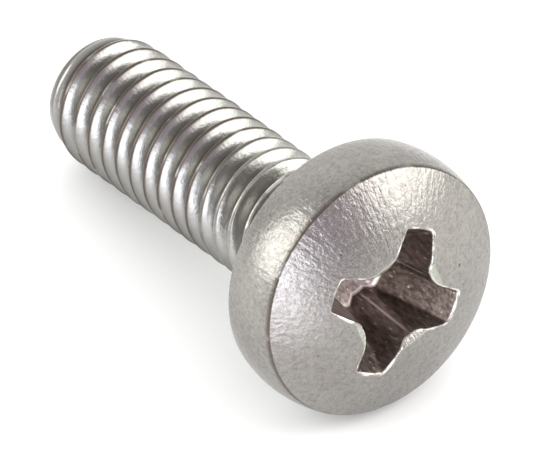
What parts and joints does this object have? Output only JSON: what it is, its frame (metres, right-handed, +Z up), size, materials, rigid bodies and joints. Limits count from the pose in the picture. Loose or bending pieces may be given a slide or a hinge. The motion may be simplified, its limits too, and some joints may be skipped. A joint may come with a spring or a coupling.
{
  "type": "machine screw",
  "caption": "Pan head machine screw with a cross recess, a barrel-sided domed head and a fine thread along its whole shank.",
  "frame": {"origin": "on the surface that the lying screw rests on, under the middle of its length", "axes": "+X runs along the lying screw from its end to its head, +Z is up from the surface; the screw's own axis rises 9.6 degrees from the surface towards the head, in the XZ plane"},
  "size_m": [0.0152, 0.008, 0.008],
  "materials": {
    "stainless_steel": "tumbled satin"
  },
  "bodies": {
    "root": {"screw": "stainless_steel"}
  },
  "joints": []
}
